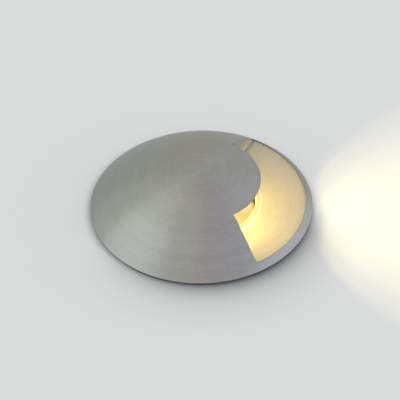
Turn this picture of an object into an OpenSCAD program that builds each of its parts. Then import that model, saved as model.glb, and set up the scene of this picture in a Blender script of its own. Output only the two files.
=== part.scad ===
// In ground well light with a domed cover that sends its light out through one side window.
// Millimetres. The origin is on the lamp's axis at finished ground level, with +Z up.
// The light window faces +X. What lies below zero is buried in its ground sleeve.

/* [Domed cover] */
// How far the cover laps over the sleeve, all round
cover_lap = 10; // [8:0.5:16]
// Height of the dome above its rim
dome_h = 21.8; // [18:0.1:26]
// Upright edge at the rim
rim_land = 0.4; // [0.2:0.1:1]
// Wall of the dome
cover_wall = 2.5; // [2:0.1:3]
// Width of the rim band left outside the window
rim_band = 3.2; // [2.6:0.1:4.5]
// Angle that the window spans
window_angle = 122; // [96:1:130]
// How far in front of the axis the planes of the two cheeks meet
window_shift = 1.5; // [0:0.1:3]
// How far the hood's lip reaches past the well
lip_overhang = 1.8; // [1:0.1:4]
// Thickness of the hood at its lip
lip_t = 1; // [0.8:0.1:1.6]
// Length over which the lip thins
lip_taper = 4; // [2:0.5:6]
// Thickness of the cheeks and of the scoop wall
cheek_t = 2; // [1.5:0.1:2.5]
// Shadow gap between cheeks and floor
cheek_gap = 0.5; // [0.3:0.1:1]
// Diameter of the screw bosses under the dome
boss_d = 7; // [6:0.1:7.4]

/* [Floor ring] */
// Bore of the light well
well_d = 55; // [50:0.5:64]
// Height of the collar round the well
collar_h = 0.7; // [0.3:0.1:1.2]
// Wall of the collar
collar_w = 1.9; // [0.8:0.1:2.2]
// Thickness of the disc under the dome
disc_t = 1.2; // [1:0.1:1.8]
// How far the lit floor stands up in the window, over the disc
floor_rise = 1.2; // [0.8:0.1:1.4]
// Thickness over the lens
shoulder_t = 2.5; // [2:0.1:3]
// How far the ring drops below ground level
skirt_drop = 3.5; // [3:0.1:5]
// Width of the three keys that turn the aiming ring
key_w = 6; // [4:0.5:8]
// Height of the keys
key_h = 3; // [2:0.1:3]

/* [Seals and lens] */
// Thickness of the rim gasket
gasket_t = 1.5; // [1:0.1:2.5]
// Thickness of the lens glass
lens_t = 4; // [3:0.1:5]
// How far the glass laps under the floor ring
lens_lap = 3.1; // [2.5:0.1:4]
// Thickness of the flat seals on both faces of the glass
lens_seal_t = 1; // [0.6:0.1:1.5]
// Cord diameter of the round seals
seal_cord = 1.2; // [1:0.1:1.5]

/* [Lamp housing] */
// Wall of the housing's core
core_wall = 5; // [4:0.1:6]
// Depth of the light chamber
light_depth = 27; // [22:0.5:34]
// Thickness of the plate that carries the LED board
plate_t = 5; // [4:0.1:8]
// Depth of the wiring chamber
wiring_depth = 18; // [16:0.5:24]
// Thickness of the top flange
flange_t = 3; // [2.5:0.1:4]
// Number of fin places round the housing
fin_places = 24; // [24:12:36]
// Thickness of a fin
fin_t = 1.6; // [1.2:0.1:2]
// How far the fins stand out
fin_h = 5; // [3:0.1:5]

/* [Light source] */
// Thickness of the LED board
board_t = 1.6; // [1:0.1:2]
// How far the LED board stays inside the housing's wall
board_gap = 6; // [5.8:0.1:8]
// Diameter of the light emitting face
emitter_d = 12; // [8:0.5:14]
// Wall of the reflector cup
cup_wall = 0.8; // [0.6:0.1:1.2]

/* [Rear cap and gland] */
// Thickness of the rear cap
cap_t = 4; // [3:0.1:6]
// How far the cap's plug enters the wiring chamber
cap_plug = 4.5; // [4:0.1:5]
// Diameter of the cable that the gland takes
cable_d = 7; // [5:0.1:8]
// Thread of the gland
gland_thread_d = 12; // [12:0.5:16]
// Width across the flats of the gland's hexagons
gland_af = 17; // [17:0.5:20]

/* [Spring arms] */
// Width of an arm
arm_w = 9.4; // [8:0.1:10]
// Length of an arm below its pin
arm_len = 21; // [18:0.5:24]
// Diameter of the pivot pins
pin_d = 2; // [1.6:0.1:2.4]
// Thickness of the rubber grip pads
pad_t = 1.6; // [1:0.1:1.8]
// Height of the grip pads
pad_h = 6; // [4:0.5:8]
// Wire of the torsion springs
wire_d = 0.6; // [0.4:0.05:0.7]
// Turns of a torsion spring
spring_turns = 3; // [2:1:3]

/* [Aiming ring] */
// Wall of the aiming ring
ring_wall = 1.9; // [1.6:0.1:3]
// Height of the aiming ring
ring_h = 32; // [26:0.5:36]
// Depth of the ring's top below ground level
ring_drop = 2; // [1:0.1:3]

/* [Ground sleeve] */
// Wall of the sleeve
sleeve_wall = 2.2; // [2:0.1:3.5]
// Depth of the sleeve below ground level
sleeve_depth = 105; // [102:1:140]
// Thickness of the drained base
base_t = 4; // [3:0.5:6]
// Depth of the plain band at the top of the outside
plain_band = 42; // [30:1:44]
// How far the ribs below stay back from the plain band
rib_back = 0.6; // [0.5:0.1:0.7]
// Depth of the panels between the ribs
panel_depth = 0.5; // [0.3:0.1:0.6]
// Number of upright ribs
rib_count = 12; // [8:4:16]
// Width of the ribs
rib_w = 3; // [2:0.1:4]
// Diameter of the conduit that the entries take
conduit_d = 20; // [16:0.5:20]

/* [Hidden] */

$fn = 96;
dome_fn = 180;
small_fn = 32;
// Overrun of cuts
over = 1;
// Gap of parts that only lie inside one another
loose = 0.4;
// Gap of parts that turn or slide in one another
slip = 0.3;
// Radial clearance of pins and screws in their holes
hole_fit = 0.05;

// Screws that hold cover, floor ring and housing together
screw_r = 1.5;
screw_head_r = 2.75;
screw_head_h = 2.6;
screw_socket_r = 1.25;
small_screw_r = 1;
small_head_r = 1.9;
small_head_h = 1.4;
// Distance from the lens recess to the round seal, and to the circle of screws
seal_inset = 2;
screw_inset = 5;
// Metal left outside the circle of screws
screw_margin = 4;
cover_screw_angles = [120, 180, 240];
housing_screw_angles = [30, 150, 270];
arm_angles = [60, 180, 300];
cap_screw_angles = [37.5, 142.5, 217.5, 322.5];

// Radii, from the well outwards
well_r = well_d / 2;
collar_r = well_r + collar_w;
lens_r = well_r + lens_lap;
recess_r = lens_r + loose;
seal_r = recess_r + seal_inset;
screw_circle_r = recess_r + screw_inset;
skirt_r = screw_circle_r + screw_margin;
skirt_gap = 0.6;
ring_in_r = skirt_r + skirt_gap;
ring_r = ring_in_r + ring_wall;
sleeve_in_r = ring_r + slip;
sleeve_r = sleeve_in_r + sleeve_wall;
cover_r = sleeve_r + cover_lap;
window_r = cover_r - rim_band;
floor_edge_r = window_r - slip;
lip_r = well_r + lip_overhang;
scoop_r = collar_r + loose;

// Heights, from the rim gasket up and down
rim_z = gasket_t;
edge_z = rim_z + rim_land;
disc_z = rim_z + disc_t;
floor_z = disc_z + floor_rise;
collar_z = floor_z + collar_h;
shoulder_z = disc_z - shoulder_t;
lens_top_z = shoulder_z - lens_seal_t;
lens_low_z = lens_top_z - lens_t;
seat_z = lens_low_z - lens_seal_t;
housing_top_z = -skirt_drop;
flange_low_z = housing_top_z - flange_t;
plate_top_z = seat_z - light_depth;
plate_low_z = plate_top_z - plate_t;
housing_low_z = plate_low_z - wiring_depth;
cap_low_z = housing_low_z - cap_t;

// Dome, a cap of one sphere
dome_r = (cover_r * cover_r + dome_h * dome_h) / (2 * dome_h);
dome_centre_z = edge_z + dome_h - dome_r;
dome_top_z = edge_z + dome_h;
function dome_under(r, skin) = dome_centre_z + sqrt((dome_r - skin) * (dome_r - skin) - r * r);
boss_hole_depth = 6;

// Housing core
core_in_inset = 0.5;
core_in_r = well_r - core_in_inset;
core_r = core_in_r + core_wall;
fin_r = core_r + fin_h;
fin_run_out = 6;
fin_low_z = housing_low_z + fin_t;
seal_groove_w = 1.8;
seal_squeeze = 0.05;
flange_r = skirt_r - loose;
tap_depth = 4.5;

// Light source
pad_sheet_t = 0.5;
board_r = core_in_r - board_gap;
board_top_z = plate_top_z + pad_sheet_t + board_t;
board_screw_inset = 4;
board_screw_r = board_r - board_screw_inset;
emitter_t = 0.6;
emitter_dam_w = 1;
cup_low_r = emitter_d / 2 + emitter_dam_w + loose;
cup_top_z = lens_low_z - slip;
cup_top_r = core_in_r - slip;
cup_curve_power = 0.62;
cup_steps = 12;

// Leads from the driver to the board
lead_hole_r = 2.6;
lead_hole_place = core_in_r - lead_hole_r - 0.4 * core_in_inset;
grommet_wall = 0.9;
grommet_lip = 0.5;
lead_r = 0.6;
lead_bend = 2;
lead_side = lead_r + slip / 2;
lead_drop = 5;
lead_low_z = plate_low_z - lead_drop;
lead_pad_inset = 6;
lead_pad_x = board_r - lead_pad_inset;

// Driver and terminal block, side by side on the underside of the plate
driver_size = [32, 20, 10];
driver_y = 8;
driver_corner_r = 2;
terminal_size = [20, 9, 9];
terminal_y = -14;
terminal_corner_r = 0.8;
terminal_pitch = 6;
terminal_wire_r = 1.5;
terminal_screw_r = 1.2;
terminal_screw_h = 3;

// Rear cap and gland
cap_plug_r = core_in_r - slip;
cap_groove_depth = seal_cord;
cap_screw_place = core_in_r + core_wall / 2;
cap_screw_len = 10;
gland_thread_r = gland_thread_d / 2;
gland_bore_r = cable_d / 2;
gland_hex_h = 4;
gland_hex_r = gland_af / 2 / cos(30);
gland_tail = 7;
gland_tail_gap = 1;
gland_nut_h = 10;
gland_seal_wall = 1;
gland_seal_h = gland_tail;
vent_inset = 7;
vent_place = core_in_r - vent_inset;
vent_r = 3;
vent_head_r = 4.5;
vent_head_h = 1.5;

// Spring arms, each seen with its sleeve wall towards +X and its pin along Y
pivot_out = 4;
pivot_drop = 5.5;
pivot_r = core_r + pivot_out;
pivot_z = flange_low_z - pivot_drop;
pin_r = pin_d / 2;
eye_r = 2.4;
ear_gap = slip;
ear_t = 2.5;
ear_in_y = arm_w / 2 + ear_gap;
ear_out_y = ear_in_y + ear_t;
pin_head_r = 1.6;
pin_head_h = 0.8;
lug_t = 1.7;
touch_r = ring_in_r - slip;
arm_face_r = touch_r - pad_t;
arm_t = 1.4;
arm_tail = 3;
arm_tail_in = 1.5;
pad_w = arm_w - 1;
pad_end_gap = 0.5;
pad_top_z = pivot_z - arm_len + arm_tail + pad_h;
coil_r = 1.55;
coil_steps = 12;
wire_sides = 6;
coil_room = arm_w - 2 * lug_t - 2 * loose;
coil_pitch = (coil_room - wire_d) / spring_turns;
leg_in = pivot_out - slip;
leg_down = 9;

// Aiming ring and sleeve
ring_top_z = -ring_drop;
ring_low_z = ring_top_z - ring_h;
slot_gap = slip;
slot_depth = 6;
band_h = 2.4;
band_t = 0.9;
band_z = ring_low_z + ring_h / 2;
ledge_t = 2.5;
base_top_z = -sleeve_depth + base_t;
rib_r = sleeve_r - rib_back;
spigot_h = 6;
spigot_wall = 2;
conduit_fit = 0.25;
conduit_r = conduit_d / 2 + conduit_fit;
conduit_wall = 2.4;
conduit_boss_r = conduit_r + conduit_wall;
conduit_len = 12;
conduit_in_r = sleeve_r - conduit_len;
conduit_z = base_top_z + spigot_h + loose + conduit_boss_r;
panel_rim = 2;
plug_wall = 1.6;
plug_flange_t = 1.5;
plug_len = 8;
drain_count = 6;
drain_r = 4;
drain_place_share = 0.58;
cable_hole_r = 6;

// A round bar between two heights
module bar(r, low, high, sides = $fn) {
    translate([0, 0, low]) cylinder(r = r, h = high - low, $fn = sides);
}

// A round tube between two heights
module tube(r, in_r, low, high) {
    difference() {
        bar(r, low, high);
        bar(in_r, low - over, high + over);
    }
}

// Copies of its children at the given angles and radius
module places(angles, r) {
    for (a = angles) rotate([0, 0, a]) translate([r, 0, 0]) children();
}

// The window's sector of the plan, centred on +X and taken in on each side
module window_sector(angle, inset) {
    far = 2 * cover_r;
    translate([window_shift + inset / sin(angle / 2), 0])
    polygon([
        [0, 0],
        far * [cos(angle / 2), -sin(angle / 2)],
        [far, -far * sin(angle / 2)],
        [far, far * sin(angle / 2)],
        far * [cos(angle / 2), sin(angle / 2)]
    ]);
}

// A cap screw, its head's underside at zero and its shank upwards
module cap_screw(r, len, head_r, head_h, socket_r) {
    difference() {
        union() {
            bar(r, -head_h / 2, len, small_fn);
            bar(head_r, -head_h, 0, small_fn);
        }
        bar(socket_r, -head_h - over, -head_h / 2, 6);
    }
}

// A ring of round cord
module cord_ring(r, cord_r, z) {
    translate([0, 0, z])
        rotate_extrude() translate([r, 0]) circle(r = cord_r, $fn = small_fn);
}

// The part of the dome's sphere above its rim, with its outer skin taken off
module dome_body(skin) {
    intersection() {
        translate([0, 0, dome_centre_z]) sphere(r = dome_r - skin, $fn = dome_fn);
        bar(cover_r, edge_z, dome_top_z + over);
    }
}

// Plan of the scoop wall round the well and of the two cheeks, which overrun into the window
module wall_plan() {
    difference() {
        circle(r = scoop_r + cheek_t);
        circle(r = scoop_r);
        window_sector(window_angle, over / 2);
    }
    start = scoop_r + cheek_t / 2 - window_shift;
    for (side = [0, 1])
        mirror([0, side]) translate([window_shift, 0]) rotate(window_angle / 2)
            translate([start, -over]) square([window_r - start, cheek_t + over]);
}

module domed_cover() {
    color("silver")
    difference() {
        union() {
            difference() {
                union() {
                    dome_body(0);
                    bar(cover_r, rim_z, edge_z);
                }
                translate([0, 0, dome_centre_z]) sphere(r = dome_r - cover_wall, $fn = dome_fn);
                bar(window_r, rim_z - over, disc_z);
            }
            // Walls and bosses, grown up into the shell
            intersection() {
                union() {
                    translate([0, 0, disc_z + cheek_gap]) linear_extrude(dome_h) wall_plan();
                    places(cover_screw_angles, screw_circle_r)
                        bar(boss_d / 2, disc_z, dome_top_z, small_fn);
                }
                translate([0, 0, dome_centre_z]) sphere(r = dome_r - cover_wall / 2, $fn = dome_fn);
            }
        }
        // The light window, and the underside of the lip thinned towards its edge
        intersection() {
            union() {
                tube(window_r, lip_r, rim_z - over, dome_top_z + over);
                rotate_extrude($fn = dome_fn)
                    polygon([
                        [lip_r - lip_taper, dome_under(lip_r - lip_taper, cover_wall)],
                        [lip_r, dome_under(lip_r, lip_t)],
                        [lip_r + over, dome_under(lip_r, lip_t)],
                        [lip_r + over, rim_z],
                        [lip_r - lip_taper, rim_z]
                    ]);
            }
            translate([0, 0, rim_z - over])
                linear_extrude(dome_h + 2 * over) window_sector(window_angle, 0);
        }
        places(cover_screw_angles, screw_circle_r)
            bar(screw_r + hole_fit, disc_z - over, disc_z + boss_hole_depth, small_fn);
    }
}

cover_screw_seat_z = housing_top_z + screw_head_h + loose;

module cover_screws() {
    color("lightgray")
    places(cover_screw_angles, screw_circle_r)
        translate([0, 0, cover_screw_seat_z])
            cap_screw(screw_r, disc_z + boss_hole_depth - loose - cover_screw_seat_z,
                      screw_head_r, screw_head_h, screw_socket_r);
}

module rim_gasket() {
    lip_h = 0.5 * gasket_t;
    lip_w = sleeve_wall - slip;
    outer_r = cover_r - 0.5 * gasket_t;
    color("dimgray")
    rotate_extrude()
        polygon([
            [sleeve_in_r + slip, 0],
            [sleeve_in_r + lip_w, 0],
            [sleeve_r + lip_h, lip_h],
            [window_r - lip_w, lip_h],
            [window_r - lip_h, 0],
            [outer_r, 0],
            [outer_r, gasket_t],
            [sleeve_in_r + slip, gasket_t]
        ]);
}

module floor_ring() {
    color("gainsboro")
    difference() {
        union() {
            rotate_extrude($fn = dome_fn)
                polygon([
                    [well_r, shoulder_z],
                    [well_r, collar_z],
                    [collar_r, collar_z],
                    [collar_r, disc_z],
                    [floor_edge_r, disc_z],
                    [floor_edge_r, rim_z],
                    [skirt_r, rim_z],
                    [skirt_r, housing_top_z],
                    [recess_r, housing_top_z],
                    [recess_r, shoulder_z]
                ]);
            // The lit floor, raised in the window only
            intersection() {
                tube(floor_edge_r, collar_r - collar_w / 2, rim_z + disc_t / 2, floor_z);
                linear_extrude(floor_z) window_sector(window_angle, slip);
            }
            places([0, 120, 240], skirt_r)
                translate([-over, -key_w / 2, housing_top_z + loose])
                    cube([over + skirt_gap + ring_wall - slip, key_w, key_h - loose]);
        }
        places(cover_screw_angles, screw_circle_r) {
            bar(screw_r + hole_fit, housing_top_z - over, disc_z + over, small_fn);
            bar(screw_head_r + slip, housing_top_z - over, cover_screw_seat_z, small_fn);
        }
        places(housing_screw_angles, screw_circle_r)
            bar(screw_r + hole_fit, housing_top_z - over, housing_top_z + tap_depth, small_fn);
    }
}

module upper_lens_seal() {
    color("dimgray") tube(lens_r, well_r + slip, lens_top_z, shoulder_z);
}

module lens_glass() {
    color("lightcyan", 0.4) bar(lens_r, lens_low_z, lens_top_z);
}

module lower_lens_seal() {
    color("dimgray") tube(lens_r, core_in_r + loose, seat_z, lens_low_z);
}

// Points of the cup's inner wall from the emitter up to the lens, at a given offset outwards
function cup_wall_points(out) = [
    for (i = [0 : cup_steps])
        let (share = i / cup_steps)
            [cup_low_r + out + (cup_top_r - cup_wall - cup_low_r) * pow(share, cup_curve_power),
             board_top_z + (cup_top_z - board_top_z) * share]
];

function reversed(list) = [for (i = [len(list) - 1 : -1 : 0]) list[i]];

module reflector_cup() {
    color("lightgoldenrodyellow")
    rotate_extrude()
        polygon(concat(cup_wall_points(0), reversed(cup_wall_points(cup_wall))));
}

module led_emitter() {
    color("gold") bar(emitter_d / 2, board_top_z, board_top_z + emitter_t, small_fn);
}

module led_board() {
    color("whitesmoke")
    difference() {
        bar(board_r, board_top_z - board_t, board_top_z);
        places([90, 270], board_screw_r)
            bar(screw_r + hole_fit, plate_top_z, board_top_z + over, small_fn);
    }
}

module thermal_pad() {
    color("lightslategray")
    difference() {
        bar(board_r, plate_top_z, plate_top_z + pad_sheet_t);
        places([90, 270], board_screw_r)
            bar(screw_r + hole_fit, plate_top_z - over, plate_top_z + over, small_fn);
    }
}

module board_screws() {
    len = board_top_z - plate_top_z + plate_t / 2;
    color("lightgray")
    places([90, 270], board_screw_r)
        translate([0, 0, board_top_z]) mirror([0, 0, 1])
            cap_screw(screw_r, len, screw_head_r, screw_head_h / 2, screw_socket_r);
}

// One ear that carries a pivot pin, on the +Y side
module ear() {
    translate([core_r - over, ear_in_y, pivot_z])
        cube([pivot_r - core_r + over, ear_t, flange_low_z - pivot_z]);
    translate([core_r - over, ear_in_y, pivot_z - eye_r])
        cube([pivot_r - core_r + over, ear_t, eye_r]);
    translate([pivot_r, ear_in_y, pivot_z])
        cube([eye_r, ear_t, flange_low_z - pivot_z]);
    translate([pivot_r, ear_in_y + ear_t, pivot_z])
        rotate([90, 0, 0]) cylinder(r = eye_r, h = ear_t, $fn = small_fn);
}

module fin() {
    rotate([90, 0, 0])
        translate([0, 0, -fin_t / 2])
            linear_extrude(fin_t)
                polygon([
                    [core_r - over, flange_low_z + over],
                    [fin_r, flange_low_z + over],
                    [fin_r, fin_low_z + fin_run_out],
                    [core_r - over, fin_low_z]
                ]);
}

module lamp_housing() {
    step = 360 / fin_places;
    taken = concat(housing_screw_angles, arm_angles);
    color("darkgray")
    difference() {
        union() {
            bar(core_r, housing_low_z, housing_top_z);
            bar(flange_r, flange_low_z, housing_top_z);
            for (i = [0 : fin_places - 1])
                if (len(search(i * step, taken)) == 0) rotate([0, 0, i * step]) fin();
            for (a = arm_angles, side = [0, 1]) rotate([0, 0, a]) mirror([0, side, 0]) ear();
        }
        bar(recess_r, seat_z, housing_top_z + over);
        bar(core_in_r, plate_top_z, housing_top_z);
        bar(core_in_r, housing_low_z - over, plate_low_z);
        tube(seal_r + seal_groove_w / 2, seal_r - seal_groove_w / 2,
             housing_top_z - seal_cord - seal_squeeze, housing_top_z + over);
        places(housing_screw_angles, screw_circle_r)
            bar(screw_r + hole_fit, flange_low_z - over, housing_top_z + over, small_fn);
        places([90, 270], board_screw_r)
            bar(screw_r + hole_fit, plate_top_z - plate_t * 0.7, plate_top_z + over, small_fn);
        places([180], lead_hole_place)
            bar(lead_hole_r - grommet_wall / 2, plate_low_z - over, plate_top_z + over, small_fn);
        places(cap_screw_angles, cap_screw_place)
            bar(small_screw_r + hole_fit, housing_low_z - over,
                cap_low_z + cap_screw_len + loose, small_fn);
        for (a = arm_angles)
            rotate([0, 0, a]) translate([pivot_r, ear_out_y + over, pivot_z]) rotate([90, 0, 0])
                cylinder(r = pin_r + hole_fit, h = 2 * (ear_out_y + over), $fn = small_fn);
    }
}

module housing_seal() {
    color("dimgray") cord_ring(seal_r, seal_cord / 2, housing_top_z - seal_squeeze - seal_cord / 2);
}

module housing_screws() {
    color("lightgray")
    places(housing_screw_angles, screw_circle_r)
        translate([0, 0, flange_low_z])
            cap_screw(screw_r, flange_t + tap_depth - loose, screw_head_r, screw_head_h, screw_socket_r);
}

module lead_grommet() {
    in_r = lead_hole_r - grommet_wall;
    hole_r = lead_hole_r - grommet_wall / 2 - hole_fit;
    color("dimgray")
    places([180], lead_hole_place)
        difference() {
            union() {
                bar(hole_r, plate_low_z - grommet_lip, plate_top_z + grommet_lip, small_fn);
                bar(lead_hole_r, plate_top_z, plate_top_z + grommet_lip, small_fn);
                bar(lead_hole_r, plate_low_z - grommet_lip, plate_low_z, small_fn);
            }
            bar(in_r, plate_low_z - over, plate_top_z + over, small_fn);
        }
}

// A quarter bend of one lead, from straight up to level, centred on its own bend
module lead_bend_piece() {
    rotate([90, 0, 0])
        rotate_extrude(angle = 90, $fn = small_fn)
            translate([lead_bend, 0]) circle(r = lead_r, $fn = small_fn);
}

module lead() {
    top_z = board_top_z + lead_r;
    level = lead_hole_place - lead_bend;
    driver_end = driver_size[0] / 2;
    bar(lead_r, lead_low_z + lead_bend, top_z - lead_bend, small_fn);
    translate([-lead_bend, 0, top_z - lead_bend]) lead_bend_piece();
    translate([-lead_bend, 0, lead_low_z + lead_bend]) mirror([0, 0, 1]) lead_bend_piece();
    translate([lead_pad_x - lead_hole_place, 0, top_z])
        rotate([0, 90, 0]) cylinder(r = lead_r, h = level - lead_pad_x, $fn = small_fn);
    translate([driver_end - lead_hole_place, 0, lead_low_z])
        rotate([0, 90, 0]) cylinder(r = lead_r, h = level - driver_end, $fn = small_fn);
}

module led_leads() {
    color("firebrick")
    for (side = [-1, 1])
        translate([0, side * lead_side, 0]) places([180], lead_hole_place) lead();
}

// A block with rounded upright corners, its top face at zero
module rounded_block(size, r) {
    translate([0, 0, -size[2]])
        linear_extrude(size[2]) {
            square([size[0] - 2 * r, size[1]], center = true);
            square([size[0], size[1] - 2 * r], center = true);
            for (x = [-1, 1], y = [-1, 1])
                translate([x * (size[0] / 2 - r), y * (size[1] / 2 - r)])
                    circle(r = r, $fn = small_fn);
        }
}

module driver_module() {
    color("ivory")
    translate([0, driver_y, plate_low_z]) rounded_block(driver_size, driver_corner_r);
}

module terminal_block() {
    color("white")
    translate([0, terminal_y, plate_low_z])
        difference() {
            rounded_block(terminal_size, terminal_corner_r);
            for (i = [-1 : 1])
                translate([i * terminal_pitch, 0, 0]) {
                    translate([0, terminal_size[1] / 2 + over, -terminal_size[2] / 3])
                        rotate([90, 0, 0])
                            cylinder(r = terminal_wire_r, h = terminal_size[1] + 2 * over, $fn = small_fn);
                    bar(terminal_screw_r + hole_fit, -terminal_size[2] - over,
                        -terminal_size[2] + terminal_screw_h, small_fn);
                }
        }
}

module terminal_screws() {
    color("goldenrod")
    for (i = [-1 : 1])
        translate([i * terminal_pitch, terminal_y, plate_low_z - terminal_size[2]])
            difference() {
                bar(terminal_screw_r, loose, terminal_screw_h, small_fn);
                translate([-terminal_screw_r, -terminal_screw_r / 4, 0])
                    cube([2 * terminal_screw_r, terminal_screw_r / 2, terminal_screw_h / 2]);
            }
}

module rear_cap() {
    groove_z = housing_low_z + cap_plug / 2;
    color("darkgray")
    difference() {
        union() {
            bar(core_r, cap_low_z, housing_low_z);
            bar(cap_plug_r, housing_low_z - over, housing_low_z + cap_plug);
        }
        tube(cap_plug_r + over, cap_plug_r - cap_groove_depth,
             groove_z - seal_groove_w / 2, groove_z + seal_groove_w / 2);
        bar(gland_thread_r + hole_fit, cap_low_z - over, housing_low_z + cap_plug + over, small_fn);
        places([0], vent_place)
            bar(vent_r + hole_fit, cap_low_z - over, housing_low_z + cap_plug + over, small_fn);
        places(cap_screw_angles, cap_screw_place)
            bar(small_screw_r + hole_fit, cap_low_z - over, housing_low_z + over, small_fn);
    }
}

module rear_cap_seal() {
    cord_r = seal_cord / 2;
    color("dimgray")
        cord_ring(cap_plug_r - cap_groove_depth + seal_squeeze + cord_r, cord_r, housing_low_z + cap_plug / 2);
}

module rear_cap_screws() {
    color("lightgray")
    places(cap_screw_angles, cap_screw_place)
        translate([0, 0, cap_low_z])
            cap_screw(small_screw_r, cap_screw_len, small_head_r, small_head_h, small_head_r / 2);
}

module vent_plug() {
    color("dimgray")
    places([0], vent_place)
        difference() {
            union() {
                bar(vent_r, cap_low_z - vent_head_h, housing_low_z + cap_plug, small_fn);
                bar(vent_head_r, cap_low_z - vent_head_h, cap_low_z, small_fn);
            }
            bar(vent_r / 3, cap_low_z - vent_head_h - over, housing_low_z + cap_plug + over, small_fn);
        }
}

gland_hex_low_z = cap_low_z - gland_hex_h;
gland_tail_z = gland_hex_low_z - gland_tail;
gland_seat_r = gland_bore_r + gland_seal_wall;
gland_nut_top_z = gland_hex_low_z - gland_tail_gap;

module gland_body() {
    color("darkgoldenrod")
    difference() {
        union() {
            bar(gland_thread_r, gland_tail_z, housing_low_z + cap_plug + loose, small_fn);
            bar(gland_hex_r, gland_hex_low_z, cap_low_z, 6);
        }
        bar(gland_bore_r + slip, gland_tail_z - over, housing_low_z + cap_plug + 2 * over, small_fn);
        bar(gland_seat_r + hole_fit, gland_tail_z - over, gland_hex_low_z, small_fn);
    }
}

module gland_seal() {
    color("dimgray")
    difference() {
        bar(gland_seat_r, gland_tail_z, gland_tail_z + gland_seal_h, small_fn);
        bar(gland_bore_r, gland_tail_z - over, gland_tail_z + gland_seal_h + over, small_fn);
    }
}

module gland_nut() {
    low_z = gland_nut_top_z - gland_nut_h;
    color("darkgoldenrod")
    difference() {
        bar(gland_hex_r, low_z, gland_nut_top_z, 6);
        bar(gland_thread_r + hole_fit, gland_tail_z, gland_nut_top_z + over, small_fn);
        bar(gland_bore_r + slip, low_z - over, gland_tail_z + over, small_fn);
    }
}

module arm_pins() {
    color("lightgray")
    for (a = arm_angles)
        rotate([0, 0, a]) translate([pivot_r, 0, pivot_z]) rotate([90, 0, 0]) {
            bar(pin_r, -ear_out_y, ear_out_y + slip, small_fn);
            bar(pin_head_r, -ear_out_y - pin_head_h, -ear_out_y, small_fn);
        }
}

// Spring arm, drawn with its pin along Y through the pivot
module arm_shape() {
    face = arm_face_r - pivot_r;
    tail_z = -arm_len;
    intersection() {
        difference() {
            union() {
                for (side = [0, 1])
                    mirror([0, side, 0]) translate([pivot_r, arm_w / 2, pivot_z]) rotate([90, 0, 0]) {
                        cylinder(r = eye_r, h = lug_t, $fn = small_fn);
                        linear_extrude(lug_t)
                            polygon([
                                [0, 0],
                                [eye_r, 0],
                                [face, -eye_r],
                                [face, -2 * eye_r],
                                [face - arm_t, -2 * eye_r]
                            ]);
                    }
                translate([pivot_r, arm_w / 2, pivot_z]) rotate([90, 0, 0])
                    linear_extrude(arm_w)
                        polygon([
                            [face - arm_t, -eye_r - slip],
                            [face, -eye_r - slip],
                            [face, tail_z + arm_tail],
                            [face - arm_tail_in, tail_z],
                            [face - arm_tail_in - arm_t, tail_z],
                            [face - arm_t, tail_z + arm_tail]
                        ]);
            }
            translate([pivot_r, arm_w, pivot_z]) rotate([90, 0, 0])
                cylinder(r = pin_r + hole_fit, h = 2 * arm_w, $fn = small_fn);
        }
        bar(touch_r, pivot_z - 2 * arm_len, flange_low_z);
    }
}

module pad_shape() {
    intersection() {
        translate([arm_face_r, -pad_w / 2, pad_top_z - pad_h])
            cube([2 * pad_t, pad_w, pad_h - pad_end_gap]);
        bar(touch_r, pad_top_z - 2 * pad_h, pad_top_z);
    }
}

// Points along the torsion spring, seen from its pin with the wall towards +X:
// a leg to the housing, the turns, and a leg down the arm
function coil_point(turn) = [
    -coil_r * cos(360 * turn),
    (turn / spring_turns - 0.5) * coil_pitch * spring_turns,
    coil_r * sin(360 * turn)
];
coil_turns = spring_turns + 0.5;
function spring_route() = concat(
    [[-leg_in, coil_point(0)[1], -coil_r]],
    [for (i = [-coil_steps / 4 : coil_turns * coil_steps - coil_steps / 2]) coil_point(i / coil_steps)],
    [[arm_face_r - pivot_r - arm_t - wire_d / 2 - hole_fit, coil_point(spring_turns)[1], -leg_down]]
);

// A tube of the given radius swept along a route, its ends closed
function unit(v) = v / norm(v);
function route_way(route, i) = unit(
    route[min(i + 1, len(route) - 1)] - route[max(i - 1, 0)]
);
module swept_tube(route, r, sides) {
    rings = [
        for (i = [0 : len(route) - 1])
            let (
                way = route_way(route, i),
                side = unit(cross(way, [0, 1, 0.001])),
                up = cross(side, way)
            )
            for (k = [0 : sides - 1])
                let (a = 360 * k / sides)
                    route[i] + r * (cos(a) * side + sin(a) * up)
    ];
    last = len(route) - 1;
    faces = concat(
        [[for (k = [0 : sides - 1]) k]],
        [[for (k = [sides - 1 : -1 : 0]) last * sides + k]],
        [
            for (i = [0 : last - 1], k = [0 : sides - 1])
                let (a = i * sides + k, b = i * sides + (k + 1) % sides)
                    each [[b, a, a + sides], [b, a + sides, b + sides]]
        ]
    );
    polyhedron(rings, faces, convexity = 10);
}

module spring_shape() {
    translate([pivot_r, 0, pivot_z]) swept_tube(spring_route(), wire_d / 2, wire_sides);
}

module spring_arm(i) {
    color("lightgray") rotate([0, 0, arm_angles[i]]) arm_shape();
}

module grip_pad(i) {
    color("dimgray") rotate([0, 0, arm_angles[i]]) pad_shape();
}

module arm_spring(i) {
    color("gray") rotate([0, 0, arm_angles[i]]) spring_shape();
}

module aiming_ring() {
    color("slategray")
    difference() {
        tube(ring_r, ring_in_r, ring_low_z, ring_top_z);
        tube(ring_r + over, ring_r - band_t, band_z - band_h / 2 - slip, band_z + band_h / 2 + slip);
        places([0, 120, 240], ring_in_r - over)
            translate([0, -key_w / 2 - slot_gap, ring_top_z - slot_depth])
                cube([ring_wall + 2 * over, key_w + 2 * slot_gap, slot_depth + over]);
    }
}

module drag_band() {
    color("dimgray") tube(ring_r, ring_r - band_t + hole_fit, band_z - band_h / 2, band_z + band_h / 2);
}

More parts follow.
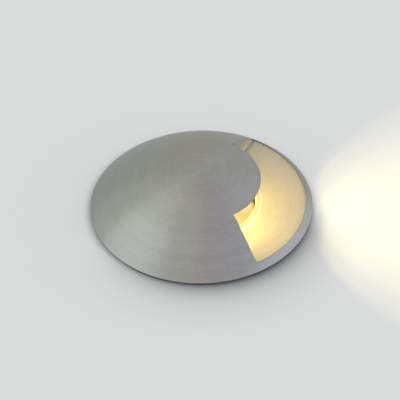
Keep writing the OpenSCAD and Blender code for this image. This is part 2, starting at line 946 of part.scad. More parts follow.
// A bar along X, level with the conduit entries, from one radius to another
module entry_bar(r, from_r, to_r) {
    translate([from_r, 0, conduit_z]) rotate([0, 90, 0]) cylinder(r = r, h = to_r - from_r);
}

module ground_sleeve() {
    panel_top_z = -plain_band - panel_rim;
    panel_low_z = base_top_z + panel_rim;
    row_h = (panel_top_z - panel_low_z) / 3;
    color("dimgray")
    difference() {
        union() {
            tube(sleeve_r, sleeve_in_r, -plain_band, 0);
            tube(rib_r, sleeve_in_r, base_top_z, -plain_band);
            // The ledge that carries the aiming ring, sloped below so that it moulds
            rotate_extrude()
                polygon([
                    [ring_in_r, ring_low_z],
                    [sleeve_in_r + sleeve_wall / 2, ring_low_z],
                    [sleeve_in_r + sleeve_wall / 2, ring_low_z - 2 * ledge_t],
                    [ring_in_r, ring_low_z - ledge_t]
                ]);
            // The bosses end inside the wall, so that they stay clear of the ground's hole
            intersection() {
                bar((sleeve_in_r + rib_r) / 2, base_top_z, ring_low_z - 2 * ledge_t);
                for (turn = [0, 180]) rotate([0, 0, turn])
                    entry_bar(conduit_boss_r, conduit_in_r, sleeve_r);
            }
        }
        for (turn = [0, 180]) rotate([0, 0, turn])
            entry_bar(conduit_r, conduit_in_r - over, sleeve_r + over);
        // Panels between the outside ribs
        difference() {
            tube(sleeve_r + over, rib_r - panel_depth, panel_low_z, panel_top_z);
            for (i = [0 : rib_count - 1])
                rotate([0, 0, (i + 0.5) * 360 / rib_count])
                    translate([0, -rib_w / 2, panel_low_z - over])
                        cube([sleeve_r + 2 * over, rib_w, panel_top_z - panel_low_z + 2 * over]);
            for (z = [panel_low_z + row_h, panel_low_z + 2 * row_h])
                bar(sleeve_r + 2 * over, z - rib_w / 2, z + rib_w / 2);
            for (turn = [0, 180]) rotate([0, 0, turn])
                entry_bar(conduit_boss_r, 0, sleeve_r + 2 * over);
        }
    }
}

module sleeve_base() {
    color("dimgray")
    difference() {
        union() {
            bar(rib_r, -sleeve_depth, base_top_z);
            bar(sleeve_in_r - slip, base_top_z - over, base_top_z + spigot_h);
        }
        bar(sleeve_in_r - slip - spigot_wall, base_top_z, base_top_z + spigot_h + over);
        bar(cable_hole_r, -sleeve_depth - over, base_top_z + over, small_fn);
        places([for (i = [0 : drain_count - 1]) (i + 0.5) * 360 / drain_count], drain_place_share * sleeve_in_r)
            bar(drain_r, -sleeve_depth - over, base_top_z + over, small_fn);
    }
}

module conduit_plug() {
    color("dimgray")
    difference() {
        union() {
            entry_bar(conduit_r - conduit_fit, conduit_in_r, conduit_in_r + plug_len);
            entry_bar(conduit_boss_r, conduit_in_r - plug_flange_t, conduit_in_r);
        }
        entry_bar(conduit_r - conduit_fit - plug_wall, conduit_in_r + plug_wall,
                  conduit_in_r + plug_len + over);
    }
}

ground_sleeve();
sleeve_base();
conduit_plug();
aiming_ring();
drag_band();
domed_cover();
cover_screws();
rim_gasket();
floor_ring();
upper_lens_seal();
lens_glass();
lower_lens_seal();
reflector_cup();
led_emitter();
led_board();
board_screws();
thermal_pad();
lamp_housing();
housing_seal();
housing_screws();
lead_grommet();
led_leads();
driver_module();
terminal_block();
terminal_screws();
rear_cap();
rear_cap_seal();
rear_cap_screws();
vent_plug();
gland_body();
gland_seal();
gland_nut();
arm_pins();
spring_arm(0);  // spring_arm_1
spring_arm(1);  // spring_arm_2
spring_arm(2);  // spring_arm_3
grip_pad(0);  // grip_pad_1
grip_pad(1);  // grip_pad_2
grip_pad(2);  // grip_pad_3
arm_spring(0);  // arm_spring_1
arm_spring(1);  // arm_spring_2
arm_spring(2);  // arm_spring_3
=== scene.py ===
"""Looks of an in ground well light: a buried lamp under a turned metal dome with one light window.

Everything is in metres in the part's own frame: the origin is on the lamp's axis at ground level,
+Z is up and the light window faces +X. Sizes written in millimetres are multiplied by MM.
"""

import math

import bmesh
import bpy
from mathutils import Matrix, Vector


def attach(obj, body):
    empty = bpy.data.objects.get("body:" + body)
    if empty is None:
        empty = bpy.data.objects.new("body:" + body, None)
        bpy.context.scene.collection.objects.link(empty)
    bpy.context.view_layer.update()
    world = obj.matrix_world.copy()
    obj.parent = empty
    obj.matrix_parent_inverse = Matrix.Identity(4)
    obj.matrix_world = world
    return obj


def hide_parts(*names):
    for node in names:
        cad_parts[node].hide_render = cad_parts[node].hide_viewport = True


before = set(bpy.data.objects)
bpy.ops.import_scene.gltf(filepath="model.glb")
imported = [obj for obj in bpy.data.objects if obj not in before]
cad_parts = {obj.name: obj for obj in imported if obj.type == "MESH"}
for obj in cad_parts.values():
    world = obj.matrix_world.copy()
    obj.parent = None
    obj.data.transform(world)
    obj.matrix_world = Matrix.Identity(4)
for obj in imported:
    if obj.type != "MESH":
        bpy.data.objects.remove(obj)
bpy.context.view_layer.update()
MM = 0.001

# Sizes of the part's source that new pieces share, in millimetres and degrees
SLEEVE_R = 45.0              # the ground sleeve's outside
COVER_R = 55.0               # the cover's rim
DOME_R = 80.28               # the ball that the dome's outside is a part of
DOME_DROP = 56.58            # how far that ball's middle is below ground level
FLOOR_Z = 3.9                # the lit floor in the window
WINDOW_HALF = 61             # half the window's angle
WINDOW_SHIFT = 1.5           # how far in front of the axis the planes of the cheeks meet
BOARD_TOP = -30.7            # the LED board's upper face
PIVOT = (36.0, 0.0, -12.0)   # an arm's pin, before the arm is turned to its angle
ARM_ANGLES = (60, 180, 300)  # the three arms round the axis


def srgb(r, g, b):
    """A colour read off a picture as 0 to 255, as the linear colour that a material takes."""
    def one(c):
        c /= 255
        return c / 12.92 if c <= 0.04045 else ((c + 0.055) / 1.055) ** 2.4
    return (one(r), one(g), one(b), 1.0)


# Materials ----------------------------------------------------------------------------------


def set_stops(ramp, stops):
    """Give a colour ramp its stops, each a place from 0 to 1 and a colour."""
    while len(ramp.elements) < len(stops):
        ramp.elements.new(0.5)
    for element, (place, color) in zip(ramp.elements, stops):
        element.position = place
        element.color = color


class Finish:
    """A material whose nodes are added one after another."""

    def __init__(self, name, color, roughness, metallic=0.0, **sockets):
        self.material = bpy.data.materials.new(name)
        self.material.use_nodes = True
        self.tree = self.material.node_tree
        self.shader = self.tree.nodes["Principled BSDF"]
        self.output = self.tree.nodes["Material Output"]
        self.set("Base Color", color)
        self.set("Roughness", roughness)
        self.set("Metallic", metallic)
        for socket, value in sockets.items():
            self.set(socket.replace("_", " "), value)

    def set(self, socket, value):
        self.shader.inputs[socket].default_value = value

    def add(self, kind, inputs=None, **settings):
        node = self.tree.nodes.new("ShaderNode" + kind)
        for key, value in settings.items():
            setattr(node, key, value)
        for key, value in (inputs or {}).items():
            if isinstance(value, bpy.types.NodeSocket):
                self.tree.links.new(value, node.inputs[key])
            else:
                node.inputs[key].default_value = value
        return node

    def link(self, source, socket):
        self.tree.links.new(source, self.shader.inputs[socket])

    def coordinates(self):
        return self.add("TexCoord").outputs["Object"]

    def math(self, operation, a, b=0.0, **settings):
        return self.add("Math", {0: a, 1: b}, operation=operation, **settings).outputs[0]

    def noise(self, scale, detail=3.0, vector=None, roughness=0.55):
        inputs = {"Scale": scale, "Detail": detail, "Roughness": roughness,
                  "Vector": vector or self.coordinates()}
        return self.add("TexNoise", inputs).outputs["Fac"]

    def round_axis(self):
        """How far a point is from the lamp's axis, and the two parts of its direction."""
        split = self.add("SeparateXYZ", {0: self.coordinates()})
        x, y = split.outputs[0], split.outputs[1]
        squares = self.math("ADD", self.math("MULTIPLY", x, x), self.math("MULTIPLY", y, y))
        far = self.math("SQRT", squares)
        return far, self.math("DIVIDE", x, far), self.math("DIVIDE", y, far)

    def turned_lines(self, per_metre, run, detail=4.0):
        """Noise drawn out along circles round the lamp's axis, as the marks of a lathe tool are.

        More per metre sets the lines closer, and a larger run makes them shorter.
        """
        far, x, y = self.round_axis()
        line = self.add("CombineXYZ", {0: self.math("MULTIPLY", far, per_metre),
                                       1: self.math("MULTIPLY", x, run),
                                       2: self.math("MULTIPLY", y, run)}).outputs[0]
        return self.noise(1.0, detail, line, 0.65)

    def ramp(self, factor, stops):
        node = self.add("ValToRGB", {"Fac": factor})
        set_stops(node.color_ramp, stops)
        return node.outputs["Color"]

    def spread(self, factor, low, high, start=0.0, end=1.0):
        """The factor's stretch from start to end, drawn out to run from low to high."""
        return self.add("MapRange", {"Value": factor, "From Min": start, "From Max": end,
                                     "To Min": low, "To Max": high}).outputs[0]

    def shade(self, color, value):
        """The colour made lighter or darker from place to place."""
        shaded = self.add("HueSaturation", {"Color": color, "Value": value})
        self.link(shaded.outputs[0], "Base Color")

    def worn_edges(self, radius_mm):
        """Edges broken to a small radius, which catches the light."""
        return self.add("Bevel", {"Radius": radius_mm * MM}, samples=4).outputs[0]

    def bump(self, height, distance, strength, onto=None):
        """A fine relief, laid onto the worn edges where they are given."""
        inputs = {"Height": height, "Distance": distance, "Strength": strength}
        if onto:
            inputs["Normal"] = onto
        self.link(self.add("Bump", inputs).outputs[0], "Normal")


def turned(name, color, roughness, anisotropy, metallic, streak):
    """Metal faced on a lathe and brushed: wide rings, short scratches and a sheen that fans out.

    The streak is how far its marks are lighter or darker than the colour.
    """
    finish = Finish(name, color, roughness, metallic, Anisotropic=anisotropy,
                    Anisotropic_Rotation=0.25)
    finish.link(finish.add("Tangent", direction_type="RADIAL", axis="Z").outputs[0], "Tangent")
    rings = finish.turned_lines(260.0, 0.7, 3.0)
    scratches = finish.turned_lines(1500.0, 5.0, 5.0)
    fine = finish.turned_lines(3600.0, 16.0)
    finish.link(finish.spread(scratches, roughness * 0.75, roughness * 1.25), "Roughness")
    finish.bump(scratches, 0.014 * MM, 0.5, finish.worn_edges(0.2))
    mottle = finish.noise(650.0, 5.0, roughness=0.7)
    marks = finish.math("MULTIPLY", rings, 0.25)
    for pattern, share in ((scratches, 0.3), (fine, 0.2), (mottle, 0.25)):
        marks = finish.math("ADD", marks, finish.math("MULTIPLY", pattern, share))
    finish.shade(color, finish.spread(marks, 1 - streak, 1 + streak, 0.39, 0.61))
    return finish.material


def grained(name, color, roughness, metallic=0.0, grain=2500.0, depth=0.03, edge=0.15):
    """A quiet moulded or cast finish: a fine grain, soft patches of shade and broken edges.

    The grain's depth and the edges' radius are in millimetres.
    """
    finish = Finish(name, color, roughness, metallic)
    grain_noise = finish.noise(grain)
    finish.link(finish.spread(grain_noise, roughness * 0.85, roughness * 1.15), "Roughness")
    finish.bump(grain_noise, depth * MM, 0.4, finish.worn_edges(edge))
    patches = finish.noise(90.0, 4.0)
    finish.shade(color, finish.spread(patches, 0.94, 1.06, 0.3, 0.7))
    return finish.material


def fluted(name, color, roughness):
    """A bright lining with fine upright lines round the lamp's axis."""
    finish = Finish(name, color, roughness)
    x, y = (finish.math("MULTIPLY", part, 40.0) for part in finish.round_axis()[1:])
    around = finish.add("CombineXYZ", {0: x, 1: y}).outputs[0]
    lines = finish.noise(1.0, 2.0, around)
    finish.bump(lines, 0.05 * MM, 0.5, finish.worn_edges(0.1))
    finish.shade(color, finish.spread(lines, 0.75, 1.1, 0.4, 0.6))
    return finish.material


def buried_plastic():
    """Dark moulded plastic, a little paler and browner where soil has rubbed it."""
    finish = Finish("buried sleeve plastic", srgb(62, 63, 66), 0.5)
    grain = finish.noise(1600.0, 4.0)
    rubbed = finish.noise(55.0, 6.0, roughness=0.7)
    finish.link(finish.spread(rubbed, 0.42, 0.68, 0.35, 0.7), "Roughness")
    finish.bump(grain, 0.05 * MM, 0.4, finish.worn_edges(0.25))
    finish.link(finish.ramp(rubbed, [(0.4, srgb(58, 60, 61)), (0.56, srgb(65, 66, 66)),
                                     (0.75, srgb(77, 76, 72))]), "Base Color")
    return finish.material


def clear_glass():
    """Clear glass whose faces are very slightly uneven."""
    finish = Finish("clear lens glass", (0.97, 0.99, 0.98, 1.0), 0.02, IOR=1.45,
                    Transmission_Weight=1.0)
    finish.bump(finish.noise(120.0, 2.0), 0.01 * MM, 0.15)
    return finish.material


def lit_plate():
    """The diffuser over the lamp, lit warm and a little unevenly."""
    finish = Finish("lit diffuser", srgb(96, 82, 48), 0.5)
    blotches = finish.noise(150.0, 3.0)
    finish.link(finish.ramp(blotches, [(0.36, srgb(246, 220, 134)), (0.5, srgb(250, 230, 152)),
                                       (0.64, srgb(252, 241, 176))]), "Emission Color")
    finish.set("Emission Strength", 0.82)
    return finish.material


def lit_phosphor():
    """The LED's phosphor, lit much brighter than the diffuser."""
    finish = Finish("lit phosphor", srgb(250, 216, 90), 0.6)
    finish.link(finish.ramp(finish.noise(900.0), [(0.3, (1.0, 0.72, 0.25, 1.0)),
                                                  (0.7, (1.0, 0.86, 0.45, 1.0))]), "Emission Color")
    finish.set("Emission Strength", 6.0)
    return finish.material


FINISHES = {
    "turned_cover": turned("turned cover", srgb(148, 150, 145), 0.37,
                           anisotropy=0.8, metallic=1.0, streak=0.1),
    "turned_floor": turned("turned floor", srgb(154, 153, 140), 0.5,
                           anisotropy=0.4, metallic=0.35, streak=0.09),
    "cheek_lining": grained("cheek lining", srgb(148, 145, 136), 0.55),
    # Painted light: the bead is pale so that it reads as lit where the collar shades it
    "collar_bead": grained("collar bead", srgb(206, 204, 192), 0.5),
    "well_lining": fluted("well lining", srgb(222, 220, 180), 0.35),
    "rim_rubber": grained("rim rubber", srgb(84, 86, 91), 0.7),
    "black_rubber": grained("black rubber", srgb(46, 47, 50), 0.75, grain=1800.0, depth=0.05),
    "lens_silicone": grained("lens silicone", srgb(156, 138, 98), 0.6),
    # Painted shade: the grey-blue strips at the cheeks' feet stand for a band in shadow
    "painted_shade_strip": grained("window strip painted shade", srgb(116, 127, 140), 0.6),
    "cast_housing": grained("cast aluminium", srgb(152, 154, 156), 0.48,
                            metallic=0.9, grain=1500.0, depth=0.06, edge=0.25),
    "stainless_fixings": grained("stainless steel", srgb(186, 187, 185), 0.28,
                                 metallic=1.0, grain=3500.0, depth=0.01, edge=0.1),
    "spring_steel": grained("spring steel", srgb(166, 168, 170), 0.3,
                            metallic=1.0, grain=3500.0, depth=0.01, edge=0.1),
    "plated_brass": grained("plated brass", srgb(188, 182, 168), 0.28,
                            metallic=1.0, grain=3000.0, depth=0.01, edge=0.2),
    "bright_reflector": grained("bright reflector", srgb(240, 220, 170), 0.2,
                                metallic=1.0, grain=900.0, depth=0.01, edge=0.05),
    "board_white": grained("board white", srgb(236, 236, 232), 0.4),
    "thermal_sheet": grained("thermal sheet", srgb(150, 160, 172), 0.7),
    "driver_case": grained("driver case", srgb(222, 220, 210), 0.45, edge=0.3),
    "terminal_plastic": grained("terminal nylon", srgb(232, 232, 226), 0.4, edge=0.2),
    "lead_sheath": grained("lead sheath", srgb(164, 34, 28), 0.45),
    "plug_plastic": grained("plug plastic", srgb(52, 53, 56), 0.5, edge=0.3),
    "ring_plastic": grained("ring nylon", srgb(88, 90, 94), 0.5, edge=0.25),
    "sleeve_plastic": buried_plastic(),
    "clear_glass": clear_glass(),
    "lit_phosphor": lit_phosphor(),
    "lit_diffuser": lit_plate(),
}

CAD_FINISHES = {
    "domed_cover": "turned_cover", "floor_ring": "turned_floor", "rim_gasket": "rim_rubber",
    "upper_lens_seal": "lens_silicone", "lower_lens_seal": "lens_silicone",
    "lens_glass": "clear_glass", "reflector_cup": "bright_reflector",
    "led_emitter": "lit_phosphor", "led_board": "board_white", "thermal_pad": "thermal_sheet",
    "driver_module": "driver_case", "terminal_block": "terminal_plastic",
    "led_leads": "lead_sheath", "aiming_ring": "ring_plastic", "conduit_plug": "plug_plastic",
    "ground_sleeve": "sleeve_plastic", "sleeve_base": "sleeve_plastic",
    "lamp_housing": "cast_housing", "rear_cap": "cast_housing",
    "gland_body": "plated_brass", "gland_nut": "plated_brass", "terminal_screws": "plated_brass",
    "cover_screws": "stainless_fixings", "housing_screws": "stainless_fixings",
    "board_screws": "stainless_fixings", "rear_cap_screws": "stainless_fixings",
    "arm_pins": "stainless_fixings",
}


def dress_cad_nodes():
    """Give each CAD node its finish. One not listed is steel on the arms, and else rubber."""
    for node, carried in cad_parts.items():
        unlisted = "spring_steel" if "arm" in node else "black_rubber"
        carried.data.materials.clear()
        carried.data.materials.append(FINISHES[CAD_FINISHES.get(node, unlisted)])


# New pieces ---------------------------------------------------------------------------------


def lathe(mesh, outline, steps=96):
    """Spin an outline of (radius, height) in millimetres round the lamp's axis.

    An outline that starts and ends on the axis is left open there, and any other is closed.
    """
    corners = [mesh.verts.new((r * MM, 0, z * MM)) for r, z in outline]
    edges = [mesh.edges.new(pair) for pair in zip(corners, corners[1:])]
    if outline[0][0] or outline[-1][0]:
        edges.append(mesh.edges.new((corners[-1], corners[0])))
    bmesh.ops.spin(mesh, geom=corners + edges, cent=(0, 0, 0), axis=(0, 0, 1), dvec=(0, 0, 0),
                   angle=math.tau, steps=steps, use_merge=True, use_duplicate=False)


def slab(mesh, outline, rise):
    """A flat outline of points in millimetres, made solid by a straight rise."""
    face = mesh.faces.new([mesh.verts.new(Vector(point) * MM) for point in outline])
    grown = bmesh.ops.extrude_face_region(mesh, geom=[face], use_keep_orig=True)["geom"]
    bmesh.ops.translate(mesh, vec=Vector(rise) * MM,
                        verts=[part for part in grown if isinstance(part, bmesh.types.BMVert)])


def wire(mesh, route, radius):
    """Round wire along a route of points in millimetres."""
    curve = bpy.data.curves.new("wire", "CURVE")
    curve.dimensions = "3D"
    curve.bevel_depth = radius * MM
    curve.bevel_resolution = 2
    curve.use_fill_caps = True
    line = curve.splines.new("POLY")
    line.points.add(len(route) - 1)
    for point, place in zip(line.points, route):
        point.co = (*(Vector(place) * MM), 1.0)
    carrier = bpy.data.objects.new("wire", curve)
    mesh.from_mesh(carrier.to_mesh())
    carrier.to_mesh_clear()
    bpy.data.objects.remove(carrier)
    bpy.data.curves.remove(curve)


def piece(name, mesh, finish, body, stands_for=None, sharp=35):
    """Close the mesh, turn its faces outwards and hang it on its body.

    It may stand for a CAD node. Edges that bend more than the sharp angle stay hard.
    """
    bmesh.ops.remove_doubles(mesh, verts=mesh.verts, dist=0.002 * MM)
    bmesh.ops.recalc_face_normals(mesh, faces=mesh.faces)
    data = bpy.data.meshes.new(name)
    mesh.to_mesh(data)
    mesh.free()
    data.shade_smooth()
    data.set_sharp_from_angle(angle=math.radians(sharp))
    data.materials.append(FINISHES[finish])
    made = bpy.data.objects.new(name, data)
    bpy.context.scene.collection.objects.link(made)
    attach(made, body)
    if stands_for:
        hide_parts(stands_for)


def to_arm(mesh, angle):
    """Move a mesh made about an arm's pivot, with X outwards, to its place round the lamp."""
    turn = Matrix.Rotation(math.radians(angle), 4, "Z") @ Matrix.Translation(Vector(PIVOT) * MM)
    bmesh.ops.transform(mesh, matrix=turn, verts=mesh.verts)


def light_source():
    """The well's bright lining, the diffuser in the reflector's mouth, the phosphor and its dam."""
    mesh = bmesh.new()
    lathe(mesh, [(27.05, -0.7), (27.42, -0.7), (27.42, 4.3), (27.05, 4.3)])
    piece("well_lining", mesh, "well_lining", "lamp_head")
    mesh = bmesh.new()
    lathe(mesh, [(0, -5.6), (25.2, -5.6), (25.5, -5.85), (25.1, -6.6), (0, -6.6)])
    piece("light_diffuser", mesh, "lit_diffuser", "lamp_head")
    mesh = bmesh.new()
    low = BOARD_TOP
    lathe(mesh, [(0, low), (6, low), (6, low + 0.45), (4.5, low + 0.55), (2.5, low + 0.6),
                 (0, low + 0.6)], 48)
    piece("phosphor_dome", mesh, "lit_phosphor", "lamp_head", "led_emitter")
    mesh = bmesh.new()
    lathe(mesh, [(6, low), (7, low), (7, low + 0.4), (6.75, low + 0.62), (6.25, low + 0.62),
                 (6, low + 0.4)], 48)
    piece("phosphor_dam", mesh, "board_white", "lamp_head")


def window_strips():
    """A grey-blue strip along the foot of each cheek, its colour painted shade for the shaded band
    there, and the cheek's pale lining over it.
    """
    gap, wide, thick, lining = 0.02, 1.6, 0.35, 0.15
    half = math.radians(WINDOW_HALF)
    for side, name in ((1, "far"), (-1, "near")):
        along = Vector((math.cos(half), side * math.sin(half), 0))
        inward = Vector((along.y * side, -along.x * side, 0))
        start = Vector((WINDOW_SHIFT, 0, FLOOR_Z))
        outline = [start + along * s + inward * w
                   for s, w in ((29.7, gap), (50.4, gap), (50.4, wide), (29.7, wide))]
        mesh = bmesh.new()
        slab(mesh, outline, (0, 0, thick))
        piece("window_strip_" + name, mesh, "painted_shade_strip", "lamp_head")
        foot = [(s, FLOOR_Z + thick) for s in (29.7, 50.3)]
        brow = [(s, dome_height(s + WINDOW_SHIFT * along.x) - 0.25) for s in range(50, 29, -2)]
        outline = [Vector((WINDOW_SHIFT, 0, z)) + along * s + inward * gap for s, z in foot + brow]
        mesh = bmesh.new()
        slab(mesh, outline, inward * lining)
        piece("cheek_lining_" + name, mesh, "cheek_lining", "lamp_head")


def dome_height(r):
    """How high the dome's outside is at a radius, both in millimetres."""
    return math.sqrt(DOME_R ** 2 - r ** 2) - DOME_DROP


def window_edging():
    """A pale bead round the foot of the well's collar, whose paleness is painted light that lifts
    it where the collar shades it, and a strip that closes the rim's joint.

    Both run round the axis, to as many degrees on each side of the window's middle as they reach.
    """
    low = FLOOR_Z
    bead = [(29.42, low), (30.1, low), (30.0, low + 0.2), (29.75, low + 0.45), (29.42, low + 0.66)]
    strip = [(51.51, low - 0.5), (51.79, low - 0.5), (51.79, low + 0.12), (51.65, low + 0.03),
             (51.51, low)]
    for name, finish, reach, outline in (("collar_bead", "collar_bead", 57, bead),
                                         ("rim_joint", "turned_floor", 59, strip)):
        mesh = bmesh.new()
        start = mesh.faces.new([mesh.verts.new(Vector((r, 0, z)) * MM) for r, z in outline])
        half = math.radians(reach)
        bmesh.ops.rotate(mesh, verts=mesh.verts, cent=(0, 0, 0),
                         matrix=Matrix.Rotation(-half, 3, "Z"))
        # One face closes the start, and its twin is spun
        first = mesh.faces.new([mesh.verts.new(corner.co) for corner in start.verts])
        bmesh.ops.spin(mesh, geom=[first], cent=(0, 0, 0), axis=(0, 0, 1), dvec=(0, 0, 0),
                       angle=2 * half, steps=72, use_merge=False, use_duplicate=False)
        piece(name, mesh, finish, "lamp_head", sharp=60)


def arm_fittings():
    """Wound springs and ribbed rubber pads on the three arms."""
    coil_r, coil_long, wire_r = 1.55, 4.6, 0.3
    turns = [-0.25 + 0.05 * i for i in range(66)]
    coil = [(-coil_r * math.cos(math.tau * t), (t / 3 - 0.5) * coil_long,
             coil_r * math.sin(math.tau * t)) for t in turns]
    route = [(-3.7, -coil_long / 2, -coil_r)] + coil + [(0.95, coil_long / 2, -9)]

    pad_back, pad_foot, pad_wide, ribs, pitch = 2.7, -18, 8.4, 5, 1.1
    rib = ((3.6, 0.05), (4.2, 0.2), (4.3, 0.4), (4.3, 0.7), (4.2, 0.9), (3.6, 1.05))
    pad = [(pad_back, pad_foot)]
    for i in range(ribs):
        low = pad_foot + pitch * i
        pad += [(x, low + rise) for x, rise in rib]
    pad.append((pad_back, pad_foot + pitch * ribs))

    for number, angle in enumerate(ARM_ANGLES, 1):
        body = "spring_arm_%d" % number
        mesh = bmesh.new()
        wire(mesh, route, wire_r)
        to_arm(mesh, angle)
        piece("wound_spring_%d" % number, mesh, "spring_steel", body,
              "arm_spring_%d" % number, 60)
        mesh = bmesh.new()
        slab(mesh, [(x, -pad_wide / 2, z) for x, z in pad], (0, pad_wide, 0))
        to_arm(mesh, angle)
        piece("ribbed_pad_%d" % number, mesh, "black_rubber", body,
              "grip_pad_%d" % number)


def ribbed_band():
    """The rubber band that brakes the aiming ring, with three lips."""
    back, foot, top = 41.65, -19.2, -16.8
    lip = ((42.1, 0.02), (42.46, 0.2), (42.5, 0.4), (42.46, 0.6), (42.1, 0.78))
    lips = [(r, low + rise) for low in (foot, -18.4, -17.6) for r, rise in lip]
    mesh = bmesh.new()
    lathe(mesh, [(back, foot)] + lips + [(back, top)], 128)
    piece("ribbed_drag_band", mesh, "black_rubber", "aiming_ring", "drag_band")


def plug_pull():
    """A moulded bar across the conduit plug's cup, to pull the plug out by."""
    low, thick = -82.6, 1.3
    half = ((34.55, 8.35), (38.0, 8.35), (38.9, 6.6), (39.2, 3.2))
    outline = [(x, -y, low) for x, y in half] + [(x, y, low) for x, y in reversed(half)]
    mesh = bmesh.new()
    slab(mesh, outline, (0, 0, thick))
    piece("plug_pull", mesh, "plug_plastic", "sleeve")


def domed_gland_nut():
    """A hexagon with chamfered corners, drawn in to a round end below."""
    hexagon = [(6.2, -64.8), (9.2, -64.8), (9.81, -65.3), (9.81, -71.4), (9.2, -71.9), (6.2, -71.9)]
    round_end = [(3.8, -74.3), (4.3, -74.8), (5.6, -74.8), (6.9, -74.3), (7.9, -73.4), (8.3, -72.4),
                 (8.35, -71.6), (3.8, -71.6)]
    mesh = bmesh.new()
    lathe(mesh, hexagon, 6)
    lathe(mesh, round_end, 64)
    piece("domed_gland_nut", mesh, "plated_brass", "lamp_head", "gland_nut", 25)


# Surroundings -------------------------------------------------------------------------------


def pale_floor():
    """The floor's finish, with a painted shadow that makes it a little darker close round the
    cover, and most so on the near side.

    It shows from above only, so that the buried body can be seen from low down.
    """
    pale = srgb(205, 209, 205)
    finish = Finish("pale floor", pale, 0.9)
    far, x, y = finish.round_axis()
    rim, wide_reach, narrow_reach = (r * MM for r in (COVER_R, COVER_R + 33, COVER_R + 4))
    # How dark the wide painted shadow is, by its place between the rim and its reach
    shade = ((0.0, 0.57), (0.03, 0.55), (0.073, 0.48), (0.118, 0.4), (0.206, 0.27), (0.29, 0.19),
             (0.424, 0.12), (0.597, 0.07), (0.818, 0.02), (1.0, 0.0))
    out = finish.spread(far, 0.0, 1.0, rim, wide_reach)
    # Painted shadow: how much darker the floor is, by distance out from the rim
    darker = finish.ramp(out, [(place, (k, k, k, 1)) for place, k in shade])
    # The wide painted shadow lies on the near half only, leaning towards the right
    nearer = finish.math("ADD", finish.math("MULTIPLY", x, 0.55), finish.math("MULTIPLY", y, -1.0))
    near_half = finish.math("MULTIPLY", y, -3.0, use_clamp=True)
    wide = finish.math("MULTIPLY", darker, finish.math("MULTIPLY", nearer, near_half))
    # A narrow painted shadow just outside the rim, on the left half
    left = finish.math("MULTIPLY", x, -0.3, use_clamp=True)
    narrow_painted_shadow = finish.math("MULTIPLY", finish.spread(far, 1.0, 0.0, rim, narrow_reach), left)
    # The floor's colour is darkened by the deeper of the two painted shadows
    finish.shade(pale, finish.math("SUBTRACT", 1.0, finish.math("MAXIMUM", wide, narrow_painted_shadow)))
    see_through = finish.add("BsdfTransparent")
    back = finish.add("NewGeometry").outputs["Backfacing"]
    mix = finish.add("MixShader", {0: back, 1: finish.shader.outputs[0], 2: see_through.outputs[0]})
    finish.tree.links.new(mix.outputs[0], finish.output.inputs[0])
    return finish.material


def ground():
    """A wide floor at ground level, with the hole that the sleeve fills."""
    mesh = bmesh.new()
    bmesh.ops.create_circle(mesh, segments=128, radius=SLEEVE_R * MM)
    outer = bmesh.ops.extrude_edge_only(mesh, edges=mesh.edges[:])["geom"]
    rim = [part for part in outer if isinstance(part, bmesh.types.BMVert)]
    bmesh.ops.scale(mesh, verts=rim, vec=(60, 60, 1))
    bmesh.ops.recalc_face_normals(mesh, faces=mesh.faces)
    if mesh.faces[:][0].normal.z < 0:
        bmesh.ops.reverse_faces(mesh, faces=mesh.faces)
    data = bpy.data.meshes.new("ground")
    mesh.to_mesh(data)
    mesh.free()
    floor = bpy.data.objects.new("ground", data)
    bpy.context.scene.collection.objects.link(floor)
    data.materials.append(pale_floor())


# The room's tints by direction, from -1 to 1: across is left to right, along is near to far
TINTS_ACROSS = (
    (-1, (0.97, 0.99, 0.96)), (-0.3, (0.97, 0.99, 0.95)), (-0.05, (1.1, 1.01, 0.91)),
    (0.12, (1.05, 0.99, 1.05)), (0.4, (1.09, 1.07, 1.13)), (0.58, (0.98, 1.0, 1.09)),
    (0.74, (1.66, 1.68, 1.86)), (1, (1.7, 1.7, 1.86)))
TINTS_ALONG = (
    (-1, (1.0, 1.0, 1.0)), (-0.15, (1.0, 0.975, 1.06)), (0.3, (1.0, 0.985, 1.0)),
    (1, (0.97, 1.0, 0.99)))


def studio():
    """A pale room, brighter and cooler on the right, with a window in the wall on the left."""
    world = bpy.data.worlds.new("studio")
    bpy.context.scene.world = world
    world.use_nodes = True
    nodes, links = world.node_tree.nodes, world.node_tree.links
    way = nodes.new("ShaderNodeSeparateXYZ")
    links.new(nodes.new("ShaderNodeTexCoord").outputs["Generated"], way.inputs[0])
    both = nodes.new("ShaderNodeVectorMath")
    both.operation = "MULTIPLY"
    for axis, stops in enumerate((TINTS_ACROSS, TINTS_ALONG)):
        share = nodes.new("ShaderNodeMapRange")
        share.inputs["From Min"].default_value = -1
        links.new(way.outputs[axis], share.inputs["Value"])
        tint = nodes.new("ShaderNodeValToRGB")
        set_stops(tint.color_ramp, [((place + 1) / 2, (*color, 1.0)) for place, color in stops])
        links.new(share.outputs[0], tint.inputs[0])
        links.new(tint.outputs[0], both.inputs[axis])
    room = nodes["Background"]
    links.new(both.outputs[0], room.inputs["Color"])
    room.inputs["Strength"].default_value = 0.88

    from_left = (0.76, 0.07, -0.65)
    for name, energy, width in (("left window", 0.4, 50), ("left wall", 0.42, 100)):
        sun = bpy.data.lights.new(name, "SUN")
        sun.energy = energy
        sun.angle = math.radians(width)
        hang(sun, (0, 0, 0), from_left)


def hang(light, place, way):
    """Put a light at a place in metres, shining along a way."""
    hung = bpy.data.objects.new(light.name, light)
    hung.location = place
    hung.rotation_euler = Vector(way).to_track_quat("-Z", "Y").to_euler()
    bpy.context.scene.collection.objects.link(hung)
    return hung


# The lamps under the hood: place in metres, power, and how their light fades
HOOD_GLOWS = (
    ((0.0213, -0.0215, 0.0142), 2.3, "Linear"),
    ((0.022, 0, 0.0152), 1.9, "Linear"),
    ((0.0185, -0.012, 0.0148), 60.0, "Constant"))


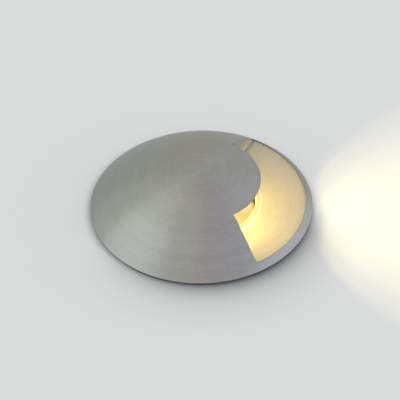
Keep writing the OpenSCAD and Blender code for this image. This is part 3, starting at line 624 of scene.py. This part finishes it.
def warm_light():
    """The lamp's own light: a glow under the hood, and the beam over the ground."""
    under_hood = bpy.data.collections.new("all but the ground")
    under_hood.objects.link(bpy.data.objects["ground"])
    under_hood.collection_objects[0].light_linking.link_state = "EXCLUDE"
    for place, power, fading in HOOD_GLOWS:
        light = cone("hood glow", power, (1.0, 0.69, 0.18), 166, 0.15, 0.003, fading)
        glow = hang(light, place, (0, 0, -1))
        glow.light_linking.receiver_collection = under_hood
        glow.visible_glossy = False
        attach(glow, "lamp_head")
    for y in (-0.026, -0.009, 0.009):
        beam = cone("ground beam", 15.5, (1.0, 0.8, 0.4), 101, 0.35, 0.002)
        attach(hang(beam, (0.0497, y, 0.030), (0.866, 0, -0.5)), "lamp_head")


def cone(name, power, color, spread, softness, size, fading="Constant"):
    """A spot whose light fades less with distance than a bare lamp's.

    Its spread is in degrees, its size is a radius in metres, and its softness is from 0 to 1.
    """
    light = bpy.data.lights.new(name, "SPOT")
    light.energy = power
    light.color = color
    light.spot_size = math.radians(spread)
    light.spot_blend = softness
    light.shadow_soft_size = size
    light.use_nodes = True
    nodes, links = light.node_tree.nodes, light.node_tree.links
    even = nodes.new("ShaderNodeLightFalloff")
    even.inputs["Strength"].default_value = 1.0
    links.new(even.outputs[fading], nodes["Emission"].inputs["Strength"])
    return light


def camera():
    """The photograph's view: 43 degrees down, a little turned, from 66 cm away."""
    elevation, turn, roll = math.radians(43.35), math.radians(1.4), math.radians(-1.23)
    target, distance = Vector((0, 0, 0.0016)), 0.66
    picture = 400  # the photograph's width in pixels
    toward = Vector((math.sin(turn), -math.cos(turn), 0)) * math.cos(elevation)
    toward.z = math.sin(elevation)
    data = bpy.data.cameras.new("camera")
    data.lens = 119.5
    data.sensor_width = 36
    data.clip_start = 0.01
    data.shift_x = -1.375 / picture
    data.shift_y = 2.738 / picture
    eye = bpy.data.objects.new("camera", data)
    place = Matrix.Translation(target + toward * distance)
    look = (-toward).to_track_quat("-Z", "Y").to_matrix().to_4x4()
    eye.matrix_world = place @ look @ Matrix.Rotation(roll, 4, "Z")
    bpy.context.scene.collection.objects.link(eye)
    bpy.context.scene.camera = eye


dress_cad_nodes()
light_source()
window_strips()
window_edging()
arm_fittings()
ribbed_band()
plug_pull()
domed_gland_nut()
ground()
studio()
warm_light()
camera()

bpy.context.scene.view_settings.view_transform = "Standard"
